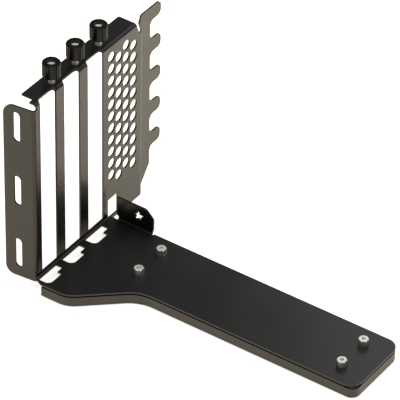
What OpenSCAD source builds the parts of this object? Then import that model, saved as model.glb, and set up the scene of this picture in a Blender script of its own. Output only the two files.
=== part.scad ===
/* [Sheet metal] */
// Thickness of the folded steel sheet
sheet_t = 1.0; // [0.8:0.1:1.5]
// Inside radius of every fold
bend_in = 0.8; // [0.6:0.1:1.2]

/* [Slots] */
// Distance from one expansion slot to the next
slot_pitch = 20.32; // [20:0.01:20.6]
// Width of one slot window
window_w = 13.5; // [12:0.1:15]
// Height of the window's lower edge above the base plate
window_z = 1.0; // [1:0.1:4]
// Depth of the window where it runs on into the shelf
window_y = 2.4; // [2:0.1:4]
// Radius of the window's upper corners
window_r = 2.5; // [1:0.1:3]

/* [Rear panel and shelf] */
// Height of the shelf's top above the base plate
shelf_z = 110.4; // [100:0.1:120]
// Depth of the shelf behind the panel's front face
shelf_y = 11.85; // [10:0.05:14]
// Left end of the shelf, from the first window's left edge
shelf_left = 0.1; // [-2:0.1:0.5]
// Right end of the shelf
shelf_right = 83.9; // [82:0.1:86]
// Right edge of the panel's lower corner
panel_right = 88.4; // [86:0.1:90]
// Lower edge of the panel where it hangs past the base plate
panel_low = -3.6; // [-4:0.1:-2]

/* [Left flange] */
// Outer face of the flange, from the first window's left edge
flange_x = -5.4; // [-6:0.1:-5]
// Back edge of the flange behind the panel's front face
flange_y = 19.6; // [18:0.1:22]
// Upper edge of the flange at its fold
flange_top = 106.9; // [104:0.1:108]
// Lower edge of the flange at its fold
flange_low = -2.8; // [-4:0.1:-2]
// Slope of the flange's upper and lower edges, falling towards the back
flange_fall = 5.1; // [0:0.1:6]
// Radius of the flange's upper corner
flange_r = 7.2; // [4:0.1:9]
// Radius of the flange's lower corner
flange_low_r = 4.8; // [3:0.1:9]
// Width of a mounting slot
flange_slot_w = 4.4; // [4:0.1:5]
// Length of a mounting slot from end to end
flange_slot_len = 18.4; // [16:0.1:20]
// Distance of the slots behind the panel's front face
flange_slot_y = 11.2; // [10:0.1:12]
// Height of the middle slot's centre
flange_slot_z = 52.35; // [50:0.05:56]

/* [Comb] */
// Upper edge of the comb
comb_top = 113.0; // [112:0.1:117]
// Right edge of the comb's spine
spine_right = 96.3; // [94:0.1:97]
// Right end of the fingers
finger_right = 106.0; // [103:0.1:107]
// Height of one finger
finger_h = 8.3; // [8:0.1:11]
// Radius of a finger's two corners
finger_r = 3.1; // [2:0.1:4]
// Radius of the hollow corner between a finger and the spine
root_r = 3.4; // [1:0.1:4]
// Number of fingers
finger_count = 5; // [5]
// How far the comb steps back from the panel's face
comb_step = 0.5; // [0.3:0.1:0.8]

/* [Perforated field] */
// Diameter of one vent hole
vent_d = 5.9; // [4:0.1:6.2]
// Distance from one column of holes to the next
vent_pitch_x = 6.47; // [6.4:0.01:7]
// Distance from one hole to the next in a column
vent_pitch_z = 7.65; // [7.5:0.01:8]
// Number of columns
vent_cols = 4; // [4]
// Number of holes in a column
vent_rows = 11; // [9:1:11]
// Centre of the first column
vent_x = 61.55; // [61:0.05:62]
// Height of the uppermost hole's centre
vent_z = 102.4; // [101:0.1:103]

/* [Base] */
// Left edge of the wide part of the base
base_left = -8.0; // [-8.5:0.1:-7.8]
// Left edge of the long arm
arm_left = 17.3; // [14:0.1:18]
// Right edge of the base
base_right = 60.4; // [60.4]
// Front end of the long arm
base_front = -182.4; // [-200:0.1:-180]
// Height of the whole base, plate and tray together
base_h = 7.9; // [5:0.1:9]
// Where the wide part turns towards the arm
waist_y = -21.2; // [-24:0.1:-18]
// Where the slanted edge meets the arm
arm_y = -50.0; // [-60:0.1:-46]
// Radius of the turn at the waist
waist_r = 15; // [10:0.5:16]
// Radius of the turn into the arm
arm_r = 21; // [10:0.5:22]
// Radius of the plate's left front corner
front_left_r = 8; // [6:0.5:12]
// Radius of the tray's left front corner
tray_left_r = 5; // [3:0.5:9]
// Radius of the right front corner
front_right_r = 7; // [3:0.5:10]

/* [Side ear] */
// Height of the ear above the base plate
ear_z = 13.9; // [12:0.1:18]
// Front end of the ear
ear_front = -27.9; // [-32:0.1:-26]
// Back end of the ear
ear_back = -4.3; // [-6:0.1:-3]
// Size of the ear's bevelled upper corner
ear_bevel = 4.9; // [3:0.1:6]
// Reach of the star-shaped hole's points
star_r = 3.6; // [2.5:0.1:4]

/* [Standoffs] */
// Height of a standoff above the plate
standoff_h = 4.0; // [3:0.5:6]
// Width of a standoff across its flats
standoff_af = 5.0; // [5:0.1:5.5]
// Radius of its threaded hole
standoff_bore_r = 1.05; // [1:0.05:1.3]
// Distance between the two columns of standoffs
standoff_dx = 20.24; // [20:0.01:21]
// Distance between the two rows of standoffs
standoff_dy = 126.0; // [120:0.1:130]
// Centre of the left column
standoff_x = 28.8; // [28:0.1:30]
// Centre of the back row
standoff_y = -41.0; // [-42:0.1:-40]

/* [Thumb screws] */
// Centre of the first screw, from the first window's left edge
screw_x = 16.9; // [16:0.1:17.4]
// Centre of the screws behind the panel's front face
screw_y = 5.4; // [4.6:0.1:5.8]
// Diameter of the knurled cap over its ribs
cap_d = 9.8; // [9:0.1:11]
// Height of the cap
cap_h = 8.8; // [7:0.1:9]
// Gap between the cap and the shelf
cap_gap = 4.2; // [3.8:0.1:7]
// Number of ribs around the cap
rib_count = 24; // [20:1:36]
// Radius of the screw's shank
shank_r = 1.75; // [1.7:0.01:1.76]
// Clearance between the shank and its hole
shank_clear = 0.05; // [0.02:0.01:0.08]
// Length of the shank below the shelf's top
shank_low = 3.2; // [2.6:0.1:3.6]

/* [Hidden] */
$fn = 48;

bend_out = bend_in + sheet_t;
slot_count = 3;
arc_step = 5;
eps = 0.5;

// The origin is the middle of the footprint box, on the surface that the base rests on
x_mid = (base_left + finger_right) / 2;
y_mid = (base_front + flange_y) / 2;

// Panel
panel_left = flange_x + bend_out;
neck_left = -3.3;
neck_in = -2.6;
panel_top = shelf_z - bend_out;
tab_y = 4.5;
tab_step = 1.0;
panel_foot = 0.5;

// Comb: the step back from the panel, the upper corner and the notch beside the shelf
step_x0 = 87.5;
step_run = 1.4;
comb_corner_r = 1.4;
comb_left = 87.9;
comb_waist_z = 110.8;
notch_tip_x = 86.6;
notch_tip_z = 108.9;
notch_x = 86.9;
notch_z = 104.4;
notch_r = 1.25;
notch_split = 86.2;
taper_z = 12.3;
taper_low_z = 2.1;

// Relief window beside the ear, cut through the fold
relief_left = 58.1;
relief_right = 67.0;
relief_top = 11.0;
relief_low = -1.5;
strip_left = 59.2;

// Tongue cut-outs in the base plate, as offsets from each window's left edge
cut_left = -5.5;
cut_right = 9.8;
cut_step_x = 5.4;
cut_near = -1.5;
cut_step_y = -5.7;
cut_far = -8.5;
cut_r = 3.2;

// Base plate and tray
plate_corner_x = -6.2;
plate_back = -bend_in;
plate_corner_y = -5.0;
fold_left = -2.8;
tray_back = -9.3;
tray_hook_x = -6.0;
tray_groove = 0.9;
tray_groove_in = 0.9;
tray_hook_in = 0.3;
tray_wall = 2.0;
tray_floor = 1.6;
tray_edge_r = 0.8;
tray_lip = -sheet_t - tray_groove;
boss_r = 5.0;
head_r = 2.9;
head_h = 1.8;
head_pocket_r = 3.2;
head_pocket_h = 2.4;
screw_r = 1.45;
screw_hole_r = 1.6;
screw_in = 1.9;
standoff_low_r = 1.5;

// Ear
ear_x = base_right - 0.1;
ear_round = 2.5;
ear_foot = 0.5;
ear_foot_z = 2.6;
ear_relief_r = 1.1;
ear_fold_end = ear_back - ear_relief_r;
ear_notch_y = ear_front - 0.6;
star_y = -18.2;
star_z = 7.4;
star_in = 0.42;

// Thumb screws
cap_z = shelf_z + cap_gap;
rib_depth = 0.35;
cap_top_r = 4.3;
cap_rim = 0.7;
cap_recess_r = 2.5;
cap_recess_h = 2.2;
seat_gap = 0.03;
cap_socket_r = shank_r + seat_gap;
disc_r = 2.35;
disc_low = cap_h - cap_recess_h + seat_gap;
disc_top = cap_h - 1.2;
disc_edge = 0.25;
lead_in = 0.5;

function arc(x, y, r, a0, a1) =
    let (n = max(1, ceil(abs(a1 - a0) / arc_step)))
    [for (i = [0 : n]) [x + r * cos(a0 + (a1 - a0) * i / n), y + r * sin(a0 + (a1 - a0) * i / n)]];

// Moves a piece from the drawing's own zero to the part's origin
module place() {
    translate([-x_mid, -y_mid, base_h]) children();
}

// Stands an outline drawn in X and Z upright, from y0 towards the back
module upright(y0, depth) {
    translate([0, y0 + depth, 0]) rotate([90, 0, 0]) linear_extrude(depth) children();
}

// Stands an outline drawn in Y and Z on edge, from x0 towards the right
module sideways(x0, depth) {
    translate([x0, 0, 0]) rotate([90, 0, 90]) linear_extrude(depth) children();
}

// A quarter of a ring, the section of one fold, with its centre at the origin
module fold_section(a) {
    rotate(a) intersection() {
        difference() {
            circle(bend_out);
            circle(bend_in);
        }
        square(bend_out + eps);
    }
}

module rect(x0, y0, x1, y1) {
    translate([x0, y0]) square([x1 - x0, y1 - y0]);
}

// Panel and comb, seen from the front
function finger(top) = concat(
    arc(finger_right - finger_r, top - finger_h + finger_r, finger_r, -90, 0),
    arc(finger_right - finger_r, top - finger_r, finger_r, 0, 90)
);

function root_below(top) =
    arc(spine_right + root_r, top - finger_h - root_r, root_r, 180, 90);

function root_above(top) =
    arc(spine_right + root_r, top + root_r, root_r, 270, 180);

panel_outline = concat(
    [[neck_in, panel_top], [neck_in, flange_top], [panel_left, flange_top]],
    [[panel_left, flange_low], [panel_foot, flange_low], [panel_foot, bend_in]],
    [[strip_left, bend_in], [strip_left, panel_low], [panel_right, panel_low]],
    [[panel_right, taper_low_z], [spine_right, taper_z]],
    [for (k = [finger_count - 1 : -1 : 0]) let (top = comb_top - k * slot_pitch)
        each concat(root_below(top), finger(top), k > 0 ? root_above(top) : [])],
    arc(comb_left + comb_corner_r, comb_top - comb_corner_r, comb_corner_r, 90, 180),
    [[comb_left, comb_waist_z], [notch_tip_x, notch_tip_z]],
    arc(notch_x, notch_z, notch_r, 0, -180),
    [[shelf_right, panel_top]]
);

// Panel and comb, seen from above: below the notch a slope joins them
module wall_plan() {
    polygon([
        [panel_left, 0], [step_x0, 0], [step_x0 + step_run, comb_step], [finger_right + eps, comb_step],
        [finger_right + eps, comb_step + sheet_t], [step_x0 + step_run, comb_step + sheet_t],
        [step_x0, sheet_t], [panel_left, sheet_t]
    ]);
}

// Beside the notch the panel ends flat, and the comb stays a small step further back
module notch_plan() {
    rect(panel_left, 0, notch_split, sheet_t);
    rect(notch_split, comb_step, finger_right + eps, comb_step + sheet_t);
}

module wall() {
    intersection() {
        union() {
            translate([0, 0, panel_low]) linear_extrude(notch_z - panel_low) wall_plan();
            translate([0, 0, notch_z]) linear_extrude(comb_top - notch_z) notch_plan();
        }
        upright(-eps, sheet_t + comb_step + 2 * eps) polygon(panel_outline);
    }
}

module vents() {
    for (c = [0 : vent_cols - 1]) {
        for (r = [0 : vent_rows - 1]) {
            drop = (r + (c % 2) / 2) * vent_pitch_z;
            translate([vent_x + c * vent_pitch_x, -eps, vent_z - drop])
                rotate([-90, 0, 0]) cylinder(d = vent_d, h = sheet_t + 2 * eps, $fn = 24);
        }
    }
}

// A window and its run-on into the shelf, where its corners are round
module window(x) {
    upright(-eps, sheet_t + 2 * eps) rect(x, window_z, x + window_w, panel_top + 0.3);
    translate([0, 0, panel_top - 0.01]) linear_extrude(bend_out + eps)
        polygon(concat(
            [[x, -eps], [x + window_w, -eps]],
            arc(x + window_w - window_r, window_y - window_r, window_r, 0, 90),
            arc(x + window_r, window_y - window_r, window_r, 90, 180)
        ));
}

module shelf() {
    translate([0, 0, shelf_z - sheet_t]) linear_extrude(sheet_t)
        polygon([
            [neck_left, bend_out], [shelf_right, bend_out], [shelf_right, shelf_y], [shelf_left, shelf_y],
            [shelf_left, tab_y + tab_step], [shelf_left - tab_step, tab_y], [neck_left, tab_y]
        ]);
    sideways(neck_left, shelf_right - neck_left)
        translate([bend_out, panel_top]) fold_section(90);
}

module screw_holes() {
    for (i = [0 : slot_count - 1]) {
        translate([screw_x + i * slot_pitch, screw_y, shelf_z - sheet_t - eps])
            cylinder(r = shank_r + shank_clear, h = sheet_t + 2 * eps);
    }
}

// Height of one of the flange's sloping edges at the depth y, from its height z at the fold
function flange_edge(z, y) = z - (y - bend_out) * tan(flange_fall);

// The left flange with its three mounting slots
module flange() {
    low_y = flange_y - flange_low_r;
    top_y = flange_y - flange_r;
    low_z = flange_edge(flange_low, low_y) + flange_low_r / cos(flange_fall);
    top_z = flange_edge(flange_top, top_y) - flange_r / cos(flange_fall);
    sideways(flange_x, sheet_t) difference() {
        polygon(concat(
            [[bend_out, flange_low]],
            arc(low_y, low_z, flange_low_r, -90 - flange_fall, 0),
            arc(top_y, top_z, flange_r, 0, 90 - flange_fall),
            [[bend_out, flange_top]]
        ));
        for (i = [-1 : 1]) translate([flange_slot_y, flange_slot_z + 2 * i * slot_pitch]) slot_outline();
    }
    translate([panel_left, bend_out, flange_low]) linear_extrude(flange_top - flange_low) fold_section(180);
}

module slot_outline() {
    run = flange_slot_len - flange_slot_w;
    translate([-flange_slot_w / 2, -run / 2]) square([flange_slot_w, run]);
    translate([0, run / 2]) circle(d = flange_slot_w);
    translate([0, -run / 2]) circle(d = flange_slot_w);
}

// Base outline from the waist to the front, drawn in by d
waist_turn = atan2(arm_left - base_left, waist_y - arm_y);

function base_curve(d, left_r) =
    let (
        t = waist_turn,
        w = waist_r - d,
        a = arm_r + d,
        wy = waist_y + waist_r * tan(t / 2),
        ay = arm_y - arm_r * tan(t / 2)
    )
    concat(
        arc(base_left + waist_r, wy, w, 180, 180 + t),
        arc(arm_left - arm_r, ay, a, t, 0),
        arc(arm_left + left_r, base_front + left_r, left_r - d, 180, 270),
        arc(base_right - front_right_r, base_front + front_right_r, front_right_r - d, 270, 360)
    );

module plate_outline() {
    polygon(concat(
        [[base_right, ear_notch_y], [ear_x - bend_in, ear_notch_y], [ear_x - bend_in, plate_back]],
        [[plate_corner_x, plate_back], [base_left, plate_corner_y]],
        base_curve(0, front_left_r)
    ));
}

// Each expansion slot has a stepped cut-out for the tongue of a card's bracket
module cut_outline(x) {
    polygon(concat(
        [[x + cut_left, cut_near], [x + cut_left, cut_far + cut_r]],
        arc(x + cut_left + cut_r, cut_far + cut_r, cut_r, 180, 270),
        [[x + cut_step_x, cut_far], [x + cut_step_x, cut_step_y], [x + cut_right, cut_step_y]],
        [[x + cut_right, cut_near]]
    ));
}

module plate() {
    translate([0, 0, -sheet_t]) linear_extrude(sheet_t) difference() {
        plate_outline();
        for (i = [0 : slot_count - 1]) cut_outline(i * slot_pitch);
        at_standoffs() circle(r = screw_hole_r);
        translate([ear_x, ear_back]) circle(r = ear_relief_r);
    }
    sideways(fold_left, relief_left - fold_left)
        translate([-bend_in, bend_in]) fold_section(-90);
}

module at_standoffs() {
    for (i = [0 : 1]) {
        for (j = [0 : 1]) {
            translate([standoff_x + i * standoff_dx, standoff_y - j * standoff_dy]) children();
        }
    }
}

// The ear stands up from the plate's right edge, with a round relief where its fold ends
module ear() {
    ease = ear_round * tan(22.5);
    bevel_y = ear_front + ear_bevel + ease;
    bevel_z = ear_z - ear_bevel - ease;
    sideways(ear_x, sheet_t) difference() {
        polygon(concat(
            arc(ear_back, bend_in, ear_relief_r, 180, 90),
            [[ear_back, ear_z]],
            arc(bevel_y, ear_z - ear_round, ear_round, 90, 135),
            arc(ear_front + ear_round, bevel_z, ear_round, 135, 180),
            [[ear_front, ear_foot_z], [ear_front + ear_foot, bend_in]]
        ));
        translate([star_y, star_z]) star();
    }
    translate([ear_x - bend_in, ear_fold_end, bend_in]) rotate([90, 0, 0])
        linear_extrude(ear_fold_end - ear_front - ear_foot) fold_section(-90);
}

module star() {
    polygon([for (i = [0 : 9]) (i % 2 == 0 ? star_r : star_r * star_in) * [cos(90 + 36 * i), sin(90 + 36 * i)]]);
}

module bracket() {
    color("#3a3935") place() difference() {
        union() {
            wall();
            shelf();
            flange();
            plate();
            ear();
        }
        for (i = [0 : slot_count - 1]) window(i * slot_pitch);
        vents();
        screw_holes();
        upright(-eps, sheet_t + 2 * eps) rect(relief_left, relief_low, relief_right, relief_top);
    }
}

// The tray under the plate: outer skin, shadow groove, hollow inside and four bosses
function tray_outline(d) = concat(
    [[base_right - d, tray_back - d], [base_left + d, tray_back - d]],
    base_curve(d, tray_left_r)
);

module tray_slab(d, z0, z1) {
    translate([0, 0, z0]) linear_extrude(z1 - z0) polygon(tray_outline(d));
}

// The rounded lower edge: rings of the same outline, each drawn in a little further
module tray_edge() {
    steps = 4;
    n = len(tray_outline(0));
    points = [for (k = [0 : steps]) let (a = 90 * k / steps)
        for (p = tray_outline(tray_edge_r * (1 - sin(a))))
            [p[0], p[1], -base_h + tray_edge_r * (1 - cos(a))]];
    sides = [for (k = [0 : steps - 1]) for (i = [0 : n - 1]) let (j = (i + 1) % n)
        [k * n + i, (k + 1) * n + i, (k + 1) * n + j, k * n + j]];
    low_face = [for (i = [0 : n - 1]) i];
    high_face = [for (i = [0 : n - 1]) steps * n + (n - i) % n];
    polyhedron(points, concat([low_face, high_face], sides));
}

// A narrow hook closes the left back corner beside the plate's slanted edge
module tray_hook() {
    hook_y = tray_back - tray_wall;
    upright(hook_y, plate_corner_y - hook_y) polygon(concat(
        arc(base_left + tray_edge_r, -base_h + tray_edge_r, tray_edge_r, 180, 270),
        [[tray_hook_x, -base_h], [tray_hook_x, tray_lip], [base_left, tray_lip]]
    ));
    upright(hook_y, plate_corner_y - tray_groove_in - hook_y)
        rect(base_left + tray_groove_in, tray_lip, tray_hook_x - tray_hook_in, -sheet_t);
}

module base_tray() {
    color("#4f4d44") place() difference() {
        union() {
            difference() {
                union() {
                    tray_edge();
                    tray_slab(0, -base_h + tray_edge_r, tray_lip);
                    tray_slab(tray_groove_in, tray_lip, -sheet_t);
                    tray_hook();
                }
                tray_slab(tray_wall, -base_h + tray_floor, 0);
            }
            at_standoffs() translate([0, 0, -base_h + tray_floor / 2])
                cylinder(r = boss_r, h = base_h - tray_floor / 2 - sheet_t);
        }
        at_standoffs() translate([0, 0, -base_h - eps]) {
            cylinder(r = screw_hole_r, h = base_h + 2 * eps);
            cylinder(r = head_pocket_r, h = head_pocket_h + eps);
        }
    }
}

// Pan-headed screw that holds the tray to the plate and the standoff to both
module base_screw(i, j) {
    seat = -base_h + head_pocket_h;
    color("#b4b4b0") place()
        translate([standoff_x + i * standoff_dx, standoff_y - j * standoff_dy, 0]) difference() {
            union() {
                translate([0, 0, seat - head_h]) cylinder(r1 = head_r - 0.5, r2 = head_r, h = 0.5);
                translate([0, 0, seat - head_h + 0.5]) cylinder(r = head_r, h = head_h - 0.5);
                translate([0, 0, seat]) cylinder(r = screw_r, h = screw_in - seat);
            }
            translate([0, 0, seat - head_h - eps]) {
                translate([-1.6, -0.35, 0]) cube([3.2, 0.7, eps + 1]);
                translate([-0.35, -1.6, 0]) cube([0.7, 3.2, eps + 1]);
            }
        }
}

module standoff(i, j) {
    across = standoff_af / cos(30);
    color("#c9cac6") place()
        translate([standoff_x + i * standoff_dx, standoff_y - j * standoff_dy, 0]) difference() {
            intersection() {
                cylinder(d = across, h = standoff_h, $fn = 6);
                union() {
                    cylinder(d = across + 0.1, h = standoff_h - 0.4);
                    translate([0, 0, standoff_h - 0.4])
                        cylinder(d1 = across + 0.1, d2 = standoff_af - 0.1, h = 0.4);
                }
            }
            translate([0, 0, -eps]) cylinder(r = standoff_low_r, h = screw_in + 0.2 + eps);
            translate([0, 0, screw_in]) cylinder(r = standoff_bore_r, h = standoff_h);
        }
}

// One rib of the knurling and the groove beside it, as points around the cap
function rib(k) =
    let (a = 360 / rib_count, r = cap_d / 2)
    [for (p = [[-0.5, rib_depth], [-0.28, rib_depth], [-0.16, 0], [0.16, 0], [0.28, rib_depth]])
        (r - p[1]) * [cos((k + p[0]) * a), sin((k + p[0]) * a)]];

// Knurled cap: bevelled rims, straight ribs and a round well that shows the screw's end
module cap(i) {
    color("#23231f") place() translate([screw_x + i * slot_pitch, screw_y, cap_z]) difference() {
        intersection() {
            linear_extrude(cap_h) polygon([for (k = [0 : rib_count - 1]) each rib(k)]);
            rotate_extrude() polygon([
                [0, 0], [cap_top_r, 0], [cap_d / 2 + 0.1, cap_rim],
                [cap_d / 2 + 0.1, cap_h - cap_rim], [cap_top_r, cap_h], [0, cap_h]
            ]);
        }
        translate([0, 0, cap_h - cap_recess_h]) cylinder(r = cap_recess_r, h = cap_recess_h + eps);
        translate([0, 0, -eps]) cylinder(r = cap_socket_r, h = cap_h);
    }
}

// Silver screw: its round end shows in the cap's well and its shank runs down through the shelf
module shank(i) {
    run = cap_gap + shank_low;
    color("#c4c4c0") place() translate([screw_x + i * slot_pitch, screw_y, cap_z]) rotate_extrude()
        polygon([
            [0, -run], [shank_r - lead_in, -run], [shank_r, lead_in - run], [shank_r, disc_low],
            [disc_r, disc_low], [disc_r, disc_top - disc_edge], [disc_r - disc_edge, disc_top], [0, disc_top]
        ]);
}

bracket();
base_tray();
cap(0);  // cap_1
cap(1);  // cap_2
cap(2);  // cap_3
shank(0);  // shank_1
shank(1);  // shank_2
shank(2);  // shank_3
standoff(0, 0);  // standoff_1
standoff(1, 0);  // standoff_2
standoff(0, 1);  // standoff_3
standoff(1, 1);  // standoff_4
base_screw(0, 0);  // base_screw_1
base_screw(1, 0);  // base_screw_2
base_screw(0, 1);  // base_screw_3
base_screw(1, 1);  // base_screw_4
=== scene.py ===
"""Dresses the vertical graphics card mount and sets up its studio.

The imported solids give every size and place. This script rounds the sheet
metal's edges as powder coat does, cuts the threads, gives each piece its
finish and lights it on a white table.
"""

import logging
import math
from dataclasses import dataclass, field
from enum import Enum

import bmesh
import bpy
from mathutils import Matrix, Vector


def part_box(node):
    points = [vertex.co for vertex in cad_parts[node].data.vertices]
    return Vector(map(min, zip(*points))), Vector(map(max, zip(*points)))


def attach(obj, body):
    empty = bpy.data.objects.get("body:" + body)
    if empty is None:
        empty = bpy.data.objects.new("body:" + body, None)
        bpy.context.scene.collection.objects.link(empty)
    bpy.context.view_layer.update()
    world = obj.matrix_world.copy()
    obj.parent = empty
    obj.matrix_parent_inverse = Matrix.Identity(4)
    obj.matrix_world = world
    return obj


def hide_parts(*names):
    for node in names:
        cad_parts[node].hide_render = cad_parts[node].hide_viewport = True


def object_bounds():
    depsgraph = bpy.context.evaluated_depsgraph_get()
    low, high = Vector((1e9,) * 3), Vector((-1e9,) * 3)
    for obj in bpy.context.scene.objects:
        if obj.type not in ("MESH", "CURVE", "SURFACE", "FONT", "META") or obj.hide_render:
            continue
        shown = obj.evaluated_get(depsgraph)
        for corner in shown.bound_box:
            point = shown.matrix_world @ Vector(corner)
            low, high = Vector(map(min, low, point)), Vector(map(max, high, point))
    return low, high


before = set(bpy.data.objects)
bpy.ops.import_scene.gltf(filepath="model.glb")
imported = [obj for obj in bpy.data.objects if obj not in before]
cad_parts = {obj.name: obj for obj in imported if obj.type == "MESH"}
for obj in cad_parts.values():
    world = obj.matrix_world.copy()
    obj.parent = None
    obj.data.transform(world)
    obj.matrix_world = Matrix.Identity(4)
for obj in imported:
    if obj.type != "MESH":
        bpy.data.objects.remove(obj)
cad_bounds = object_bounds()

log = logging.getLogger("card_mount")

MM = 0.001

# Nearly all of a noise texture's values lie between these two.
NOISE_LOW = 0.3
NOISE_HIGH = 0.7
# A wave texture of scale 1 repeats after this length.
WAVE_LENGTH = 0.314
# Points closer than this are one, and edges flatter than this are left out.
WELD_MM = 0.002
FLAT_DEG = 0.4
# Edges sharper than this are rounded.
SHARP_DEG = 32
# The paper lies this far below the object's foot.
PAPER_GAP_MM = 0.05


class Axis(Enum):
    """The direction that a finish's tool marks cross."""

    X = "X"
    Y = "Y"
    Z = "Z"


def linear_colour(code: str) -> tuple[float, float, float, float]:
    """Turns an sRGB hex value into linear light.

    Args:
        code: A colour such as "#31302e".

    Returns:
        Red, green, blue and an alpha of 1.
    """
    parts = (int(code[i : i + 2], 16) / 255 for i in (1, 3, 5))
    light = [p / 12.92 if p <= 0.04045 else ((p + 0.055) / 1.055) ** 2.4 for p in parts]
    return (light[0], light[1], light[2], 1.0)


def add_node(
    tree: bpy.types.NodeTree,
    kind: str,
    options: dict[str, object] | None = None,
    values: dict[str | int, object] | None = None,
    links: dict[str | int, bpy.types.NodeSocket] | None = None,
) -> bpy.types.Node:
    """Adds one node with its options, its fixed sockets and its links.

    Args:
        tree: The node tree that gets the node.
        kind: The node's type name.
        options: Settings of the node itself.
        values: Fixed values of its input sockets.
        links: Sockets that feed its input sockets.

    Returns:
        The new node.
    """
    node = tree.nodes.new(kind)
    for name, value in (options or {}).items():
        setattr(node, name, value)
    for key, value in (values or {}).items():
        node.inputs[key].default_value = value
    for key, socket in (links or {}).items():
        tree.links.new(socket, node.inputs[key])
    return node


def new_material(name: str) -> bpy.types.Material:
    """Makes an empty node material with the given name."""
    material = bpy.data.materials.new(name)
    material.use_nodes = True
    material.node_tree.nodes.clear()
    return material


def noise(
    tree: bpy.types.NodeTree,
    place: bpy.types.NodeSocket,
    size_mm: float,
    detail: float,
    roughness: float = 0.5,
) -> bpy.types.NodeSocket:
    """Adds a noise pattern of a real size.

    Args:
        tree: The node tree that gets the pattern.
        place: The coordinates that it is laid out in.
        size_mm: Width of one cloud or grain.
        detail: How many finer layers it has.
        roughness: How strong those layers are.

    Returns:
        The pattern's value.
    """
    return add_node(
        tree,
        "ShaderNodeTexNoise",
        values={"Scale": 1 / (size_mm * MM), "Detail": detail, "Roughness": roughness},
        links={"Vector": place},
    ).outputs["Fac"]


def blend(
    tree: bpy.types.NodeTree,
    share: bpy.types.NodeSocket,
    first: str,
    second: str,
) -> bpy.types.NodeSocket:
    """Adds a mix of two hex colours that follows a pattern.

    Args:
        tree: The node tree that gets the mix.
        share: The second colour's share.
        first: The colour where the share is 0.
        second: The colour where it is 1.

    Returns:
        The mixed colour.
    """
    return add_node(
        tree,
        "ShaderNodeMix",
        {"data_type": "RGBA"},
        {6: linear_colour(first), 7: linear_colour(second)},
        {0: share},
    ).outputs[2]


def between(
    tree: bpy.types.NodeTree,
    pattern: bpy.types.NodeSocket,
    low: float,
    high: float,
) -> bpy.types.NodeSocket:
    """Spreads a noise pattern over the range from low to high."""
    return add_node(
        tree,
        "ShaderNodeMapRange",
        values={"From Min": NOISE_LOW, "From Max": NOISE_HIGH, "To Min": low, "To Max": high},
        links={"Value": pattern},
    ).outputs["Result"]


def relief(
    tree: bpy.types.NodeTree,
    height: bpy.types.NodeSocket,
    depth_mm: float,
    under: bpy.types.NodeSocket | None = None,
    strength: float = 1.0,
) -> bpy.types.NodeSocket:
    """Turns a pattern into bumps of a real depth.

    Args:
        tree: The node tree that gets the bumps.
        height: The pattern.
        depth_mm: Height from its lowest to its highest value.
        under: The coarser bumps that these lie on.
        strength: How fully they show.

    Returns:
        The bumped normal.
    """
    return add_node(
        tree,
        "ShaderNodeBump",
        values={"Distance": depth_mm * MM, "Strength": strength},
        links={"Height": height, "Normal": under} if under else {"Height": height},
    ).outputs["Normal"]


def finish_tree(tree: bpy.types.NodeTree, surface: bpy.types.NodeSocket) -> None:
    """Sends a shader to the material's output."""
    add_node(tree, "ShaderNodeOutputMaterial", links={"Surface": surface})


@dataclass(frozen=True)
class PowderCoat:
    """Satin black polyester powder baked onto steel.

    The powder melts into a film with a shallow orange peel and a fine grit,
    so reflections stay soft but still follow the folds.

    Attributes:
        name: The material's name.
        deep: The film's colour where it is thickest.
        thin: The slightly browner colour where it is thin.
        cloud_mm: Size of the faint clouds in its colour and roughness.
        peel_mm: Width of one wave of orange peel, drawn about twice as
            coarse as the real one so that it shows.
        grit_mm: Width of one grain of the texture, also drawn about twice as
            coarse as the real one.
        peel_depth_mm: Height of the orange peel.
        grit_depth_mm: Height of the grit.
        smooth: Roughness where the film lies smoothest.
        rough: Roughness where it is driest.
        shine: How much light the film reflects, 0.5 being plain.
        ior: The film's refractive index.
    """

    name: str
    deep: str = "#080807"
    thin: str = "#0e0d0b"
    cloud_mm: float = 34.0
    peel_mm: float = 2.4
    grit_mm: float = 0.9
    peel_depth_mm: float = 0.008
    grit_depth_mm: float = 0.014
    smooth: float = 0.28
    rough: float = 0.35
    shine: float = 0.5
    ior: float = 1.6

    def build(self) -> bpy.types.Material:
        """Builds the powder coat.

        Returns:
            The finished material.
        """
        material = new_material(self.name)
        tree = material.node_tree
        place = add_node(tree, "ShaderNodeTexCoord").outputs["Object"]
        cloud = noise(tree, place, self.cloud_mm, 3.0, 0.55)
        peel = noise(tree, place, self.peel_mm, 1.0)
        grit = noise(tree, place, self.grit_mm, 2.0)
        colour = blend(tree, cloud, self.deep, self.thin)
        gloss = between(tree, cloud, self.smooth, self.rough)
        waves = relief(tree, peel, self.peel_depth_mm)
        grain = relief(tree, grit, self.grit_depth_mm, waves)
        shader = add_node(
            tree,
            "ShaderNodeBsdfPrincipled",
            values={"Metallic": 0.0, "IOR": self.ior, "Specular IOR Level": self.shine},
            links={"Base Color": colour, "Roughness": gloss, "Normal": grain},
        )
        finish_tree(tree, shader.outputs["BSDF"])
        return material


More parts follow.
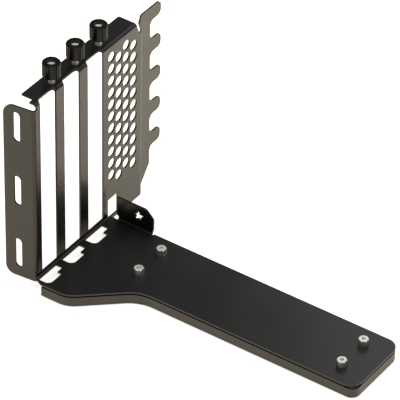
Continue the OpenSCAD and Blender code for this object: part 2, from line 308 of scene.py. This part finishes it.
@dataclass(frozen=True)
class PlatedMetal:
    """Turned steel or brass with a thin bright plating.

    Fine tool marks run around or along the piece and stretch its highlights.

    Attributes:
        name: The material's name.
        bright: The plating's colour.
        dull: Its colour where it is a little clouded.
        cloud_mm: Size of those clouds.
        line_mm: Distance between tool marks, drawn coarser than real ones.
        line_depth_mm: Depth of a tool mark.
        along: The direction that the marks cross.
        smooth: Roughness of the brightest places.
        rough: Roughness of the clouded places.
    """

    name: str
    bright: str
    dull: str
    along: Axis
    cloud_mm: float = 2.4
    line_mm: float = 0.22
    line_depth_mm: float = 0.002
    smooth: float = 0.2
    rough: float = 0.34

    def build(self) -> bpy.types.Material:
        """Builds the plating.

        Returns:
            The finished material.
        """
        material = new_material(self.name)
        tree = material.node_tree
        place = add_node(tree, "ShaderNodeTexCoord").outputs["Object"]
        cloud = noise(tree, place, self.cloud_mm, 3.0)
        colour = blend(tree, cloud, self.bright, self.dull)
        gloss = between(tree, cloud, self.smooth, self.rough)
        marks = add_node(
            tree,
            "ShaderNodeTexWave",
            {"bands_direction": self.along.value},
            {"Scale": WAVE_LENGTH / (self.line_mm * MM), "Distortion": 1.5, "Detail": 2.0},
            {"Vector": place},
        ).outputs["Fac"]
        turned = relief(tree, marks, self.line_depth_mm)
        shader = add_node(
            tree,
            "ShaderNodeBsdfPrincipled",
            values={"Metallic": 1.0},
            links={"Base Color": colour, "Roughness": gloss, "Normal": turned},
        )
        finish_tree(tree, shader.outputs["BSDF"])
        return material


@dataclass(frozen=True)
class TablePaper:
    """Seamless white studio paper that keeps the object's shadow.

    Attributes:
        name: The material's name.
        shade: The paper's colour.
        lift: Light added for the camera so that lit paper shows as white.
        mirror_lift: Light added in reflections for the same reason.
        mirror_tint: Colour of that light, warm as the lamps on the paper.
        fibre_mm: Size of the paper's fibres.
        fibre_depth_mm: Height of the fibres.
    """

    name: str = "seamless_paper"
    shade: str = "#eee5d0"
    lift: float = 0.7
    mirror_lift: float = 0.57
    mirror_tint: str = "#fff3dc"
    fibre_mm: float = 0.6
    fibre_depth_mm: float = 0.01

    def build(self) -> bpy.types.Material:
        """Builds the paper.

        Returns:
            The finished material.
        """
        material = new_material(self.name)
        tree = material.node_tree
        rays = add_node(tree, "ShaderNodeLightPath").outputs
        place = add_node(tree, "ShaderNodeTexCoord").outputs["Object"]
        fibre = noise(tree, place, self.fibre_mm, 2.0)
        felt = relief(tree, fibre, self.fibre_depth_mm, strength=0.2)
        paper = add_node(
            tree,
            "ShaderNodeBsdfDiffuse",
            values={"Color": linear_colour(self.shade)},
            links={"Normal": felt},
        )
        mirrored = add_node(
            tree,
            "ShaderNodeMath",
            {"operation": "MAXIMUM"},
            links={0: rays["Is Glossy Ray"], 1: rays["Is Transmission Ray"]},
        ).outputs[0]
        in_mirror = add_node(
            tree,
            "ShaderNodeMath",
            {"operation": "MULTIPLY"},
            {1: self.mirror_lift},
            {0: mirrored},
        ).outputs[0]
        strength = add_node(
            tree,
            "ShaderNodeMath",
            {"operation": "MULTIPLY_ADD"},
            {1: self.lift},
            {0: rays["Is Camera Ray"], 2: in_mirror},
        ).outputs[0]
        tint = blend(tree, mirrored, "#ffffff", self.mirror_tint)
        glow = add_node(tree, "ShaderNodeEmission", links={"Color": tint, "Strength": strength})
        both = add_node(
            tree,
            "ShaderNodeAddShader",
            links={0: paper.outputs["BSDF"], 1: glow.outputs["Emission"]},
        )
        finish_tree(tree, both.outputs["Shader"])
        return material


def rounded_copy(node: str, name: str, radius_mm: float, segments: int = 2) -> bpy.types.Object:
    """Copies a solid and rounds its sharp edges.

    Args:
        node: The solid to copy.
        name: The new piece's name.
        radius_mm: Width of the rounding.
        segments: Number of strips that make the rounding.

    Returns:
        The rounded piece.
    """
    shape = bmesh.new()
    shape.from_mesh(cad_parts[node].data)
    bmesh.ops.remove_doubles(shape, verts=shape.verts, dist=WELD_MM * MM)
    bmesh.ops.dissolve_limit(
        shape, angle_limit=math.radians(FLAT_DEG), verts=shape.verts, edges=shape.edges
    )
    mesh = bpy.data.meshes.new(name)
    shape.to_mesh(mesh)
    shape.free()
    mesh.shade_smooth()
    piece = bpy.data.objects.new(name, mesh)
    bpy.context.scene.collection.objects.link(piece)
    bevel = piece.modifiers.new("rounding", "BEVEL")
    bevel.width = radius_mm * MM
    bevel.segments = segments
    bevel.limit_method = "ANGLE"
    bevel.angle_limit = math.radians(SHARP_DEG)
    bevel.miter_outer = "MITER_ARC"
    flat = piece.modifiers.new("flat_faces", "WEIGHTED_NORMAL")
    flat.mode = "FACE_AREA"
    flat.weight = 100
    return settled(piece)


def settled(piece: bpy.types.Object) -> bpy.types.Object:
    """Applies a piece's modifiers to its mesh.

    Args:
        piece: The piece with its modifiers.

    Returns:
        The same piece with no modifiers.
    """
    bpy.context.view_layer.update()
    shaped = piece.evaluated_get(bpy.context.evaluated_depsgraph_get())
    mesh = bpy.data.meshes.new_from_object(shaped)
    piece.modifiers.clear()
    piece.data = mesh
    return piece


def dress(piece: bpy.types.Object, material: bpy.types.Material) -> None:
    """Gives a piece one finish all over."""
    piece.data.materials.clear()
    piece.data.materials.append(material)


@dataclass
class FoldedBracket:
    """The one folded sheet: panel, shelf, flange, comb, plate and ear.

    Attributes:
        finish: The coat on the sheet.
        edge_mm: Rounding that the coat leaves on the sheet's edges.
    """

    finish: PowderCoat
    edge_mm: float = 0.14

    def build(self) -> bpy.types.Object:
        """Rounds and coats the sheet.

        Returns:
            The finished sheet.
        """
        sheet = rounded_copy("bracket", "coated_bracket", self.edge_mm)
        dress(sheet, self.finish.build())
        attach(sheet, "frame")
        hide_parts("bracket")
        return sheet


@dataclass
class BaseTray:
    """The tray that closes the base from below.

    Attributes:
        finish: The coat on the tray.
        edge_mm: Rounding of its lip, its groove and its counterbores.
    """

    finish: PowderCoat
    edge_mm: float = 0.18

    def build(self) -> bpy.types.Object:
        """Rounds and coats the tray.

        Returns:
            The finished tray.
        """
        tray = rounded_copy("base_tray", "coated_tray", self.edge_mm)
        dress(tray, self.finish.build())
        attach(tray, "frame")
        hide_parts("base_tray")
        return tray


@dataclass
class ScrewThread:
    """A screw's threaded shank with a bevelled lead-in and a round upper end.

    Attributes:
        pitch_mm: Advance in one turn.
        crest_mm: Radius over the thread's crests.
        depth_mm: Depth of the thread.
        flank: Steepness of its flanks.
        root: Share of a flank that lies flat at the root.
        lead_in_mm: Bevel at its lower end.
        end_h_mm: Room that the round end has in the cap's well.
        sunk_mm: How far the round end lies below the top of that room.
        end_edge_mm: Bevel around that end.
        around: Facets in one turn.
        rows: Rows of points in one pitch.
    """

    pitch_mm: float = 0.794
    crest_mm: float = 1.75
    depth_mm: float = 0.34
    flank: float = 2.6
    root: float = 0.15
    lead_in_mm: float = 0.5
    end_h_mm: float = 0.97
    sunk_mm: float = 0.72
    end_edge_mm: float = 0.1
    around: int = 40
    rows: int = 8

    def radius(self, height: float, turn: float) -> float:
        """Finds the thread's radius at one point.

        Args:
            height: Height above the shank's lower end, in metres.
            turn: Angle around the shank, as a share of one turn.

        Returns:
            The radius there, in metres.
        """
        place = (height / (self.pitch_mm * MM) - turn) % 1.0
        slope = min(1.0, max(0.0, abs(place - 0.5) * self.flank - self.root))
        lead_in = max(0.0, self.lead_in_mm * MM - height)
        return self.crest_mm * MM - max(self.depth_mm * MM * (1 - slope), lead_in)

    def build(self, name: str, low: Vector, high: Vector) -> bpy.types.Object:
        """Cuts a thread that fits the box of a plain screw.

        Args:
            name: The new piece's name.
            low: The box's lowest corner.
            high: The box's highest corner.

        Returns:
            The threaded shank with its round end.
        """
        shape = bmesh.new()
        middle = (low + high) / 2
        full = high.z - low.z
        run = full - self.end_h_mm * MM
        top = full - self.sunk_mm * MM
        end_r = (high.x - low.x) / 2
        edge = self.end_edge_mm * MM
        count = math.ceil(run / (self.pitch_mm * MM) * self.rows)
        turns = [step / self.around for step in range(self.around)]
        levels = [
            (run * row / count, [self.radius(run * row / count, turn) for turn in turns])
            for row in range(count + 1)
        ]
        for height, reach in ((run, end_r), (top - edge, end_r), (top, end_r - edge)):
            levels.append((height, [reach] * self.around))
        rings = [
            [
                shape.verts.new((reach * math.cos(angle), reach * math.sin(angle), height))
                for reach, angle in zip(reaches, [math.tau * turn for turn in turns])
            ]
            for height, reaches in levels
        ]
        flat = [shape.faces.new(list(reversed(rings[0]))), shape.faces.new(rings[-1])]
        for row, (under, over) in enumerate(zip(rings, rings[1:])):
            for step in range(self.around):
                after = (step + 1) % self.around
                face = shape.faces.new((under[step], under[after], over[after], over[step]))
                if row >= count:
                    flat.append(face)
        mesh = bpy.data.meshes.new(name)
        shape.transform(Matrix.Translation((middle.x, middle.y, low.z)))
        for face in shape.faces:
            face.smooth = face not in flat
        shape.to_mesh(mesh)
        shape.free()
        piece = bpy.data.objects.new(name, mesh)
        bpy.context.scene.collection.objects.link(piece)
        return piece


@dataclass
class ThumbScrew:
    """A knurled cap on a threaded shank.

    Attributes:
        number: Which of the three screws this is.
        cap_finish: The coat on the cap.
        shank_finish: The plating on the shank.
        edge_mm: Rounding of the cap's ribs and rims.
        thread: The shank's thread.
    """

    number: int
    cap_finish: bpy.types.Material
    shank_finish: bpy.types.Material
    edge_mm: float = 0.09
    thread: ScrewThread = field(default_factory=ScrewThread)

    def build(self) -> list[bpy.types.Object]:
        """Makes the cap and its shank.

        Returns:
            The cap and the shank.
        """
        cap = rounded_copy(f"cap_{self.number}", f"knurled_cap_{self.number}", self.edge_mm)
        dress(cap, self.cap_finish)
        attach(cap, f"knob_{self.number}")
        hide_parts(f"cap_{self.number}")
        low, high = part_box(f"shank_{self.number}")
        shank = self.thread.build(f"threaded_shank_{self.number}", low, high)
        dress(shank, self.shank_finish)
        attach(shank, f"screw_{self.number}")
        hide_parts(f"shank_{self.number}")
        return [cap, shank]


@dataclass
class Standoff:
    """A hexagonal standoff, and the screw below that holds it.

    Attributes:
        number: Which of the four standoffs this is.
        body_finish: The plating on the standoff.
        screw_finish: The plating on its screw.
        edge_mm: Rounding of its corners.
    """

    number: int
    body_finish: bpy.types.Material
    screw_finish: bpy.types.Material
    edge_mm: float = 0.12

    def build(self) -> list[bpy.types.Object]:
        """Makes the standoff and its screw.

        Returns:
            The standoff and the screw.
        """
        post = rounded_copy(f"standoff_{self.number}", f"hex_standoff_{self.number}", self.edge_mm)
        dress(post, self.body_finish)
        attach(post, "frame")
        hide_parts(f"standoff_{self.number}")
        screw = rounded_copy(f"base_screw_{self.number}", f"pan_screw_{self.number}", self.edge_mm)
        dress(screw, self.screw_finish)
        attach(screw, "frame")
        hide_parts(f"base_screw_{self.number}")
        return [post, screw]


@dataclass(frozen=True)
class Softbox:
    """One soft square lamp.

    Attributes:
        name: The lamp's name.
        power_w: Its power.
        width_m: Its width.
        place_m: Where it hangs, from the middle of the object.
        aim_m: The point that it faces, from the same middle.
        spread_deg: How widely its grid lets the light fan out.
    """

    name: str
    power_w: float
    width_m: float
    place_m: tuple[float, float, float]
    aim_m: tuple[float, float, float] = (0.0, 0.0, 0.0)
    spread_deg: float = 180.0

    def hang(self, middle: Vector) -> None:
        """Hangs the lamp.

        Args:
            middle: The middle of the object.
        """
        light = bpy.data.lights.new(self.name, "AREA")
        light.energy = self.power_w
        light.size = self.width_m
        light.spread = math.radians(self.spread_deg)
        holder = bpy.data.objects.new(self.name, light)
        holder.location = middle + Vector(self.place_m)
        towards = Vector(self.aim_m) - Vector(self.place_m)
        holder.rotation_euler = towards.to_track_quat("-Z", "Y").to_euler()
        bpy.context.scene.collection.objects.link(holder)


@dataclass
class Studio:
    """White paper, a soft surround and soft lamps.

    Attributes:
        paper: The paper under the object.
        paper_m: Width of the paper.
        surround: Brightness of the room around the object.
        backdrop: Brightness of the room as the camera sees it.
        lamps: The lamps above the object and at its sides.
    """

    paper: TablePaper = field(default_factory=TablePaper)
    paper_m: float = 12.0
    surround: float = 0.2
    backdrop: float = 1.05
    lamps: tuple[Softbox, ...] = (
        Softbox("overhead_softbox", 16.0, 0.9, (0.0, 0.0, 1.5)),
        Softbox("right_floor_lamp", 0.45, 0.2, (0.31, 0.02, 0.44), (0.31, 0.02, -0.06), 64.0),
        Softbox("far_softbox", 0.36, 0.4, (0.42, -0.02, 0.3), (0.0, -0.1, -0.06)),
    )

    def floor(self) -> bpy.types.Object:
        """Lays the paper under the object.

        Returns:
            The paper.
        """
        shape = bmesh.new()
        bmesh.ops.create_grid(shape, x_segments=4, y_segments=4, size=self.paper_m / 2)
        mesh = bpy.data.meshes.new("table_paper")
        shape.to_mesh(mesh)
        shape.free()
        piece = bpy.data.objects.new("table_paper", mesh)
        bpy.context.scene.collection.objects.link(piece)
        piece.location.z = -PAPER_GAP_MM * MM
        dress(piece, self.paper.build())
        return piece

    def room(self) -> None:
        """Lights the object from all round, with white where the camera looks past it."""
        world = bpy.data.worlds.new("studio_room")
        world.use_nodes = True
        tree = world.node_tree
        tree.nodes.clear()
        rays = add_node(tree, "ShaderNodeLightPath").outputs
        strength = add_node(
            tree,
            "ShaderNodeMapRange",
            values={"To Min": self.surround, "To Max": self.backdrop},
            links={"Value": rays["Is Camera Ray"]},
        ).outputs["Result"]
        sky = add_node(tree, "ShaderNodeBackground", links={"Strength": strength})
        add_node(tree, "ShaderNodeOutputWorld", links={"Surface": sky.outputs["Background"]})
        bpy.context.scene.world = world

    def build(self) -> None:
        """Sets up the paper, the room and the lamps."""
        self.floor()
        self.room()
        low, high = cad_bounds
        for lamp in self.lamps:
            lamp.hang((Vector(low) + Vector(high)) / 2)


@dataclass(frozen=True)
class PhotoCamera:
    """The camera that took the photograph, found from the slot pitch.

    Attributes:
        frame_px: Width and height of the photograph.
        focal_px: Focal length in the photograph's pixels.
        sensor_mm: Width of the sensor.
        turn_deg: Direction from the object to the camera, from -Y towards +X.
        rise_deg: Its height above the table.
        roll_deg: Its tilt about the line of sight.
        distance_m: Distance along the line of sight.
        mark_m: A point on the object.
        mark_px: Where that point lies in the photograph.
        reach_m: The farthest distance that the camera shows.
    """

    frame_px: float = 400.0
    focal_px: float = 3828.0
    sensor_mm: float = 36.0
    turn_deg: float = -55.85
    rise_deg: float = 37.93
    roll_deg: float = 1.05
    distance_m: float = 1.947
    mark_m: tuple[float, float, float] = (-0.0190, 0.0214, 0.0679)
    mark_px: tuple[float, float] = (171.16, 194.51)
    reach_m: float = 50.0

    def build(self) -> bpy.types.Object:
        """Sets up the camera.

        Returns:
            The scene's camera.
        """
        turn, rise, roll = (math.radians(v) for v in (self.turn_deg, self.rise_deg, self.roll_deg))
        back = Vector(
            (math.sin(turn) * math.cos(rise), -math.cos(turn) * math.cos(rise), math.sin(rise))
        )
        level = Vector((0.0, 0.0, 1.0)).cross(back).normalized()
        upright = back.cross(level)
        right = level * math.cos(roll) + upright * math.sin(roll)
        up = upright * math.cos(roll) - level * math.sin(roll)
        scale = self.distance_m / self.focal_px
        across = (self.mark_px[0] - self.frame_px / 2) * scale
        above = (self.frame_px / 2 - self.mark_px[1]) * scale
        place = Vector(self.mark_m) - right * across - up * above + back * self.distance_m
        lens = bpy.data.cameras.new("photo_camera")
        lens.sensor_width = self.sensor_mm
        lens.lens = self.focal_px * self.sensor_mm / self.frame_px
        lens.clip_end = self.reach_m
        camera = bpy.data.objects.new("photo_camera", lens)
        turned = Matrix((right, up, back)).transposed().to_4x4()
        camera.matrix_world = Matrix.Translation(place) @ turned
        bpy.context.scene.collection.objects.link(camera)
        bpy.context.scene.camera = camera
        return camera


def main() -> None:
    """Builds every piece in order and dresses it."""
    logging.basicConfig(level=logging.INFO, format="%(name)s: %(message)s")
    bpy.context.scene.view_settings.view_transform = "Standard"
    PhotoCamera().build()
    Studio().build()
    cap_finish = PowderCoat(
        "black_oxide_knurl",
        thin="#0d0d0b",
        cloud_mm=4.0,
        peel_mm=0.6,
        grit_mm=0.2,
        peel_depth_mm=0.003,
        grit_depth_mm=0.002,
        smooth=0.15,
        rough=0.22,
        shine=0.27,
    ).build()
    zinc = PlatedMetal(
        "zinc_plated_steel", "#f8f8f3", "#ebeae4", Axis.Z, smooth=0.5, rough=0.62
    ).build()
    nickel = PlatedMetal(
        "nickel_plated_brass", "#f4f3f0", "#dddcd7", Axis.Z, smooth=0.4, rough=0.5
    ).build()
    pieces = [
        FoldedBracket(PowderCoat("powder_coated_steel_sheet")).build(),
        BaseTray(PowderCoat("powder_coated_tray_shell", shine=0.56)).build(),
    ]
    for number in (1, 2, 3):
        pieces += ThumbScrew(number, cap_finish, zinc).build()
    for number in (1, 2, 3, 4):
        pieces += Standoff(number, nickel, zinc).build()
    for piece in pieces:
        log.info("%s: %d faces", piece.name, len(piece.data.polygons))


if __name__ == "__main__":
    main()
